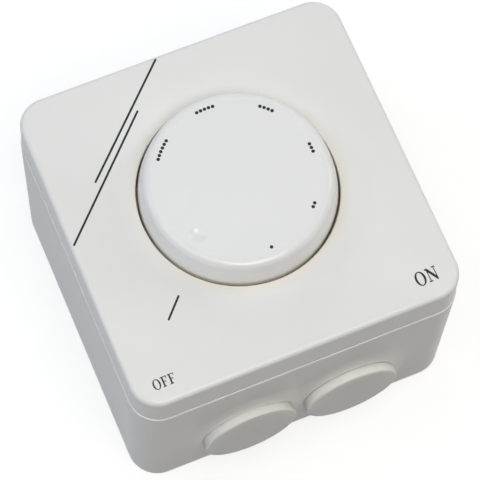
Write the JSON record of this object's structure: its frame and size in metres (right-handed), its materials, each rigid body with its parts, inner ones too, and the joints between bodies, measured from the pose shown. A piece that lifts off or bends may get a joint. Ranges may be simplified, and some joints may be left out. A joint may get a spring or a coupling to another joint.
{
  "type": "rotary fan speed control switch",
  "caption": "Square surface-mounted control box with a rounded shallow cover, a large round dial sunk in a well of its face, and blanked round cable entries on one side.",
  "frame": {"origin": "centre of the box's back face, on the wall plane", "axes": "+Z out of the wall through the cover and the dial, -Y towards the cable entries, +X to the right when the cable entries are at the bottom"},
  "size_m": [0.082, 0.0846, 0.0627],
  "materials": {
    "base_plastic": "fine satin",
    "cover_plastic": "fine satin",
    "knob_plastic": "fine satin",
    "plug_plastic": "soft satin",
    "gasket_rubber": "matt",
    "seal_rubber": "matt",
    "zinc_screw": "bright zinc",
    "spring_steel": "bright",
    "board_laminate": "matt laminate",
    "pot_can": "moulded",
    "bushing_brass": "turned",
    "washer_steel": "stamped",
    "shaft_steel": "turned",
    "wiper_bronze": "sprung",
    "track_laminate": "printed",
    "tinned_pin": "tinned",
    "switch_case": "moulded",
    "bracket_aluminium": "rolled sheet",
    "triac_epoxy": "moulded epoxy",
    "triac_copper": "tinned copper",
    "ferrite": "painted core",
    "enamel_wire": "enamelled",
    "film_box": "moulded",
    "timing_box": "moulded",
    "resistor_lacquer": "lacquered",
    "lead_wire": "tinned",
    "diac_glass": "lacquered",
    "fuse_glass": "clear",
    "fuse_cap": "nickel",
    "clip_brass": "tinned",
    "trimmer_case": "moulded",
    "trimmer_dial": "moulded",
    "terminal_plastic": "moulded",
    "clamp_steel": "zinc"
  },
  "bodies": {
    "housing": {"base_box": "base_plastic", "front_cover": "cover_plastic", "cover_gasket": "gasket_rubber", "cover_screws": "zinc_screw", "shaft_seal": "seal_rubber", "cable_plug_left": "plug_plastic", "cable_plug_right": "plug_plastic", "circuit_board": "board_laminate", "board_screws": "zinc_screw", "pot_housing": "pot_can", "pot_bushing": "bushing_brass", "pot_washer": "washer_steel", "pot_nut": "bushing_brass", "pot_track": "track_laminate", "pot_pins": "tinned_pin", "switch_housing": "switch_case", "switch_pins": "tinned_pin", "heat_sink_bracket": "bracket_aluminium", "triac_body": "triac_epoxy", "triac_tab": "triac_copper", "triac_screw": "zinc_screw", "choke_core": "ferrite", "choke_winding": "enamel_wire", "suppression_capacitor": "film_box", "timing_capacitor": "timing_box", "resistors": "resistor_lacquer", "resistor_leads": "lead_wire", "diac": "diac_glass", "fuse_tube": "fuse_glass", "fuse_caps": "fuse_cap", "fuse_clips": "clip_brass", "trimmer_body": "trimmer_case", "terminal_housing": "terminal_plastic", "terminal_clamps": "clamp_steel", "terminal_screws": "zinc_screw"},
    "dial": {"control_knob": "knob_plastic", "knob_spring": "spring_steel", "pot_shaft": "shaft_steel", "pot_wiper": "wiper_bronze"},
    "trimmer": {"trimmer_rotor": "trimmer_dial"}
  },
  "joints": [
    {"name": "knob_turn", "type": "hinge", "parent": "housing", "child": "dial", "pos_m": [0.0007, 0.00155, 0.05], "axis": [0, 0, 1], "range_deg": [-280, 0]},
    {"name": "trimmer_turn", "type": "hinge", "parent": "housing", "child": "trimmer", "pos_m": [-0.02725, 0.01375, 0.0264], "axis": [0, 0, 1], "range_deg": [-130, 130]}
  ]
}
